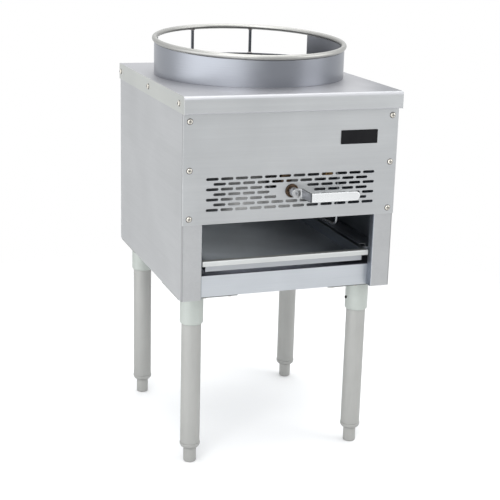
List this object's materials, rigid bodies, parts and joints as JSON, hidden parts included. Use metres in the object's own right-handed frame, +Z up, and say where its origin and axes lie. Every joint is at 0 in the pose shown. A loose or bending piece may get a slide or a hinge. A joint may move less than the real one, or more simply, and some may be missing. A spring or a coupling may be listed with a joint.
{
  "type": "wok range",
  "caption": "Freestanding wok range: folded steel cabinet on tube legs, slotted front panel with a gas lever, sliding drip tray, and a sloping wok ring open at the rear.",
  "frame": {"origin": "centre of the bounding box on the floor", "axes": "+X to the cook's right when facing the front, -Y out of the front panel, +Z up"},
  "size_m": [0.4608, 0.575, 0.8831],
  "materials": {
    "stainless": "brushed stainless sheet",
    "stainless_top": "brushed stainless sheet, finer grain",
    "ring_steel": "rolled stainless, semi-bright",
    "rim_steel": "polished stainless rod",
    "leg_steel": "matt stainless tube",
    "tray_steel": "stainless sheet",
    "socket_zinc": "dull zinc-plated steel",
    "brass": "machined brass, slightly tarnished",
    "iron": "raw grey iron",
    "black_pipe": "black lacquered pipe",
    "chromed": "bright plated",
    "aluminium": "plain"
  },
  "bodies": {
    "cabinet": {"front_panel": "stainless", "back_panel": "stainless", "front_rail": "stainless", "side_panel_left": "stainless", "side_panel_right": "stainless", "tray_runner_left": "stainless", "tray_runner_right": "stainless", "manifold_hanger_left": "stainless", "manifold_hanger_right": "stainless", "burner_bar_front": "stainless", "burner_bar_rear": "stainless", "pilot_burner": "stainless", "top_plate": "stainless_top", "fire_chamber": "ring_steel", "leg_tube_front_left": "leg_steel", "leg_tube_front_right": "leg_steel", "leg_tube_rear_left": "leg_steel", "leg_tube_rear_right": "leg_steel", "foot_cap_front_left": "leg_steel", "foot_cap_front_right": "leg_steel", "foot_cap_rear_left": "leg_steel", "foot_cap_rear_right": "leg_steel", "leg_socket_front_left": "socket_zinc", "leg_socket_front_right": "socket_zinc", "leg_socket_rear_left": "socket_zinc", "leg_socket_rear_right": "socket_zinc", "valve_body": "brass", "orifice_spud": "brass", "pilot_valve": "brass", "burner": "iron", "gas_manifold": "black_pipe", "manifold_cap": "black_pipe", "gas_elbow": "black_pipe", "supply_pipe": "black_pipe", "pilot_tube": "aluminium"},
    "ring": {"wok_ring": "ring_steel", "ring_rim": "rim_steel", "flue_post_1": "ring_steel", "flue_post_2": "ring_steel"},
    "gas_lever": {"valve_plug": "chromed", "lever_handle": "chromed"},
    "tray": {"drip_tray": "tray_steel"},
    "shutter": {"air_shutter": "aluminium"},
    "pilot_adjuster": {"pilot_screw": "brass"},
    "levelling_foot_front_left": {"foot_front_left": "leg_steel"},
    "levelling_foot_front_right": {"foot_front_right": "leg_steel"},
    "levelling_foot_rear_left": {"foot_rear_left": "leg_steel"},
    "levelling_foot_rear_right": {"foot_rear_right": "leg_steel"}
  },
  "joints": [
    {"name": "ring_lift", "type": "slide", "parent": "cabinet", "child": "ring", "axis": [0, 0, 1], "range_m": [0, 0.15]},
    {"name": "lever_turn", "type": "hinge", "parent": "cabinet", "child": "gas_lever", "pos_m": [0, -0.2655, 0.5967], "axis": [0, 1, 0], "range_deg": [0, 90]},
    {"name": "tray_slide", "type": "slide", "parent": "cabinet", "child": "tray", "axis": [0, -1, 0], "range_m": [0, 0.4]},
    {"name": "shutter_slide", "type": "slide", "parent": "cabinet", "child": "shutter", "axis": [0, -1, 0], "range_m": [0, 0.0025]},
    {"name": "pilot_screw_turn", "type": "hinge", "parent": "cabinet", "child": "pilot_adjuster", "pos_m": [0.087, -0.2295, 0.624], "axis": [0, 1, 0], "range_deg": [-180, 0]},
    {"name": "foot_screw_front_left", "type": "slide", "parent": "cabinet", "child": "levelling_foot_front_left", "axis": [0, 0, -1], "range_m": [0, 0.025]},
    {"name": "foot_screw_front_right", "type": "slide", "parent": "cabinet", "child": "levelling_foot_front_right", "axis": [0, 0, -1], "range_m": [0, 0.025]},
    {"name": "foot_screw_rear_left", "type": "slide", "parent": "cabinet", "child": "levelling_foot_rear_left", "axis": [0, 0, -1], "range_m": [0, 0.025]},
    {"name": "foot_screw_rear_right", "type": "slide", "parent": "cabinet", "child": "levelling_foot_rear_right", "axis": [0, 0, -1], "range_m": [0, 0.025]}
  ]
}
